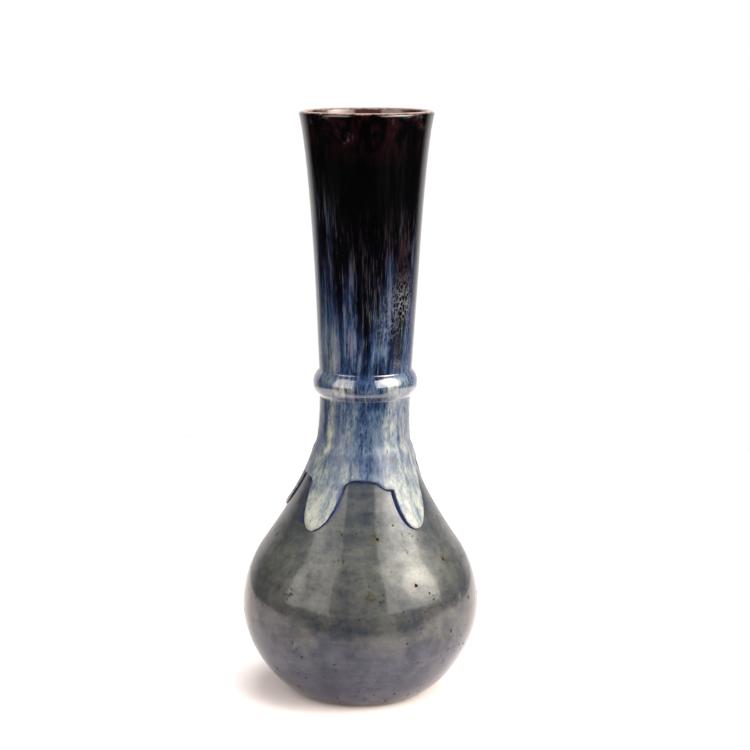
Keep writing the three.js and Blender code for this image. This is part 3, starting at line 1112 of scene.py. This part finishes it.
def bulb_glaze_material():
    s = Shade("grey_green_glaze")
    g = bulb_patterns(s)
    colour, holes = pinholes(s, g, bulb_ground(s, g))
    colour, marks = crawl_marks(s, g, colour)
    colour = blue_stain(s, g, colour)

    # The bare clay in the pinholes and marks does not shine.
    dry = s.math("MAXIMUM", holes, marks)
    rough = s.add(s.ranged(g.smudge, 0.3, 0.7, 0.075, 0.18), s.both(dry, 0.5))
    glass = s.ranged(s.half(g.smudge, g.drift), 0.38, 0.62, 0.25, 0.45)
    glass = s.both(glass, s.ranged(dry, 0, 1, 1, 0.1))
    dents = s.bump(s.add(g.rings, s.both(g.cloud, 0.9)), 0.10, 0.0005)
    s.shows(Base_Color=colour, Roughness=rough, Specular_IOR_Level=glass, IOR=1.55)
    return s.shows(Normal=dents)


def liner_material():
    s = Shade("liner_glaze")
    where = s.where()
    cloud = s.noise(where, 35, 4)
    runs = s.noise(s.stretch(where, 0.1), 260, 3)
    colour = s.mix(s.ranged(cloud, 0.35, 0.65), (0.010, 0.006, 0.006), (0.035, 0.014, 0.010))
    colour = s.mix(s.ranged(runs, 0.5, 0.75, 0, 0.5), colour, (0.030, 0.024, 0.040))
    return s.shows(Base_Color=colour, Roughness=s.ranged(cloud, 0.3, 0.7, 0.10, 0.2))


# ------------------------ the stage


AIM = np.array([0, 0, 0.09])
GLOW_DISTANCE = 1.0
WHITE = (1.0, 1.0, 1.0)
WARM = (1.0, 0.96, 0.90)
FLOOR = {"reach": 0.75, "front": -0.34, "sides": 96, "gone_at": -0.30, "solid_at": -0.10}
CAMERA = {"lens": 95.1, "place": (0.0088, -1.160, 0.4035), "down": 10.25}
# What the glaze sees of the room, from in front of the vase to behind it.
ROOM = [(0.78, (0.015, 0.015, 0.016)), (0.91, (1.0, 0.945, 0.94))]


def window(name, azimuths, heights, distance, radiance, colour):
    """An upright softbox that faces the vase's axis, between two azimuths and two heights."""
    middle = math.radians(sum(azimuths) / 2)
    half = math.radians(azimuths[1] - azimuths[0]) / 2
    size = (2 * distance * math.tan(half), heights[1] - heights[0])
    place = (distance * math.sin(middle), -distance * math.cos(middle), sum(heights) / 2)
    return area_light(name, place, (math.pi / 2, 0, middle), size, radiance, colour)


def glow(name, azimuth, elevation, reach, peak, colour, glossy=True):
    """A round softbox aimed at the vase, whose light fades out towards its rim, a reach in degrees."""
    a, e, fade = math.radians(azimuth), math.radians(elevation), math.radians(reach)
    away = np.array([math.cos(e) * math.sin(a), -math.cos(e) * math.cos(a), math.sin(e)])
    size = 2.2 * GLOW_DISTANCE * math.tan(fade)
    # A light whose spread is narrowed keeps its power, so the middle of its beam gains this much.
    gain = 1 / (1 - fade / math.tan(fade))
    radiance = peak / gain * math.pi / 4
    turn = (math.pi / 2 - e, 0, a)
    lamp = area_light(name, AIM + GLOW_DISTANCE * away, turn, (size, size), radiance, colour)
    lamp.data.shape = "DISK"
    lamp.data.spread = 2 * fade
    lamp.visible_glossy = glossy
    return lamp


def area_light(name, place, turn, size, radiance, colour):
    light = bpy.data.lights.new(name, "AREA")
    light.shape = "RECTANGLE"
    light.size, light.size_y = size
    light.energy = math.pi * size[0] * size[1] * radiance
    light.color = colour
    lamp = placed(name, light)
    lamp.location = place
    lamp.rotation_euler = turn
    lamp.visible_camera = False
    return lamp


def ground():
    turn = even_turn(FLOOR["sides"])
    x = FLOOR["reach"] * np.cos(turn)
    y = np.maximum(FLOOR["reach"] * np.sin(turn), FLOOR["front"])
    disc = bpy.data.meshes.new("floor")
    disc.from_pydata(np.column_stack([x, y, 0 * x]).tolist(), [], [list(range(FLOOR["sides"]))])
    made = placed("floor", disc)
    s = Shade("pale_floor")
    # Its front edge fades out, so that the glaze shows no line where the dark room begins.
    solid = s.ranged(s.part(s.where(), "Y"), FLOOR["gone_at"], FLOOR["solid_at"])
    disc.materials.append(s.shows(Base_Color=(0.85, 0.775, 0.765), Roughness=0.9, Alpha=solid))


def lights():
    window("window_right", (26.5, 84), (0.18, 1.6), 1.1, 4.9, WARM)
    window("window_left", (-76, -29), (0.16, 1.6), 1.1, 3.1, (1.0, 0.94, 0.85))
    glow("glow_right", 86, 34, 34, 2.6, WARM)
    glow("core_right", 64, 31, 27, 11.5, (1.0, 0.92, 0.77))
    glow("glow_left", -72, 33, 30, 0.9, WARM)
    window("strip_right", (108, 111), (0.0, 0.05), 0.9, 2.6, WHITE)
    glow("front_fill", 6, 28, 38, 4.0, (1.0, 0.97, 0.97), glossy=False)
    overhead = area_light("overhead", (0.25, -0.1, 1.8), (0, 0, 0), (1.4, 1.4), 8.0, WHITE)
    overhead.visible_glossy = False


def world():
    """White behind everything; what the glaze reflects is bright behind the vase and dark in front."""
    made = bpy.data.worlds.new("studio")
    n = Nodes(made)
    n.tree.nodes.clear()
    direction = n.node("ShaderNodeTexCoord").outputs["Generated"]
    behind = n.half(n.part(direction, "Y"), 1.0)
    room = n.node("ShaderNodeBackground", Color=n.ramp(behind, ROOM))
    seen = n.node("ShaderNodeBackground", Color=WHITE)
    by_camera = n.node("ShaderNodeLightPath").outputs["Is Camera Ray"]
    choose = n.node("ShaderNodeMixShader", Fac=by_camera)
    n.link(room.outputs[0], choose.inputs[1])
    n.link(seen.outputs[0], choose.inputs[2])
    n.node("ShaderNodeOutputWorld", Surface=choose.outputs[0])
    bpy.context.scene.world = made


def camera():
    """In front and a little above, looking down on the vase with a long lens."""
    lens = bpy.data.cameras.new("camera")
    lens.sensor_width = 36
    lens.lens = CAMERA["lens"]
    made = placed("camera", lens)
    made.location = CAMERA["place"]
    made.rotation_euler = (math.radians(90 - CAMERA["down"]), 0, 0)
    bpy.context.scene.camera = made


# ------------------------ the vase


def main():
    camera()
    world()
    ground()
    lights()
    bpy.context.scene.view_settings.view_transform = "Standard"

    clay = clay_material("stoneware_clay", (0.46, 0.33, 0.20), (0.30, 0.20, 0.115))
    slip = clay_material("joint_slip", (0.38, 0.26, 0.16), (0.24, 0.15, 0.09))
    for node, material in {"neck": clay, "collar_ring": clay, "joint_slip": slip}.items():
        for place in frame["nodes"][node].material_slots:
            place.material = material

    tree = edge_tree()
    made = {
        clay_bulb(): clay,
        bulb_glaze(tree): bulb_glaze_material(),
        neck_glaze(tree): neck_glaze_material(),
        liner(): liner_material(),
    }
    for dressed, material in made.items():
        dressed.data.materials.append(material)


main()
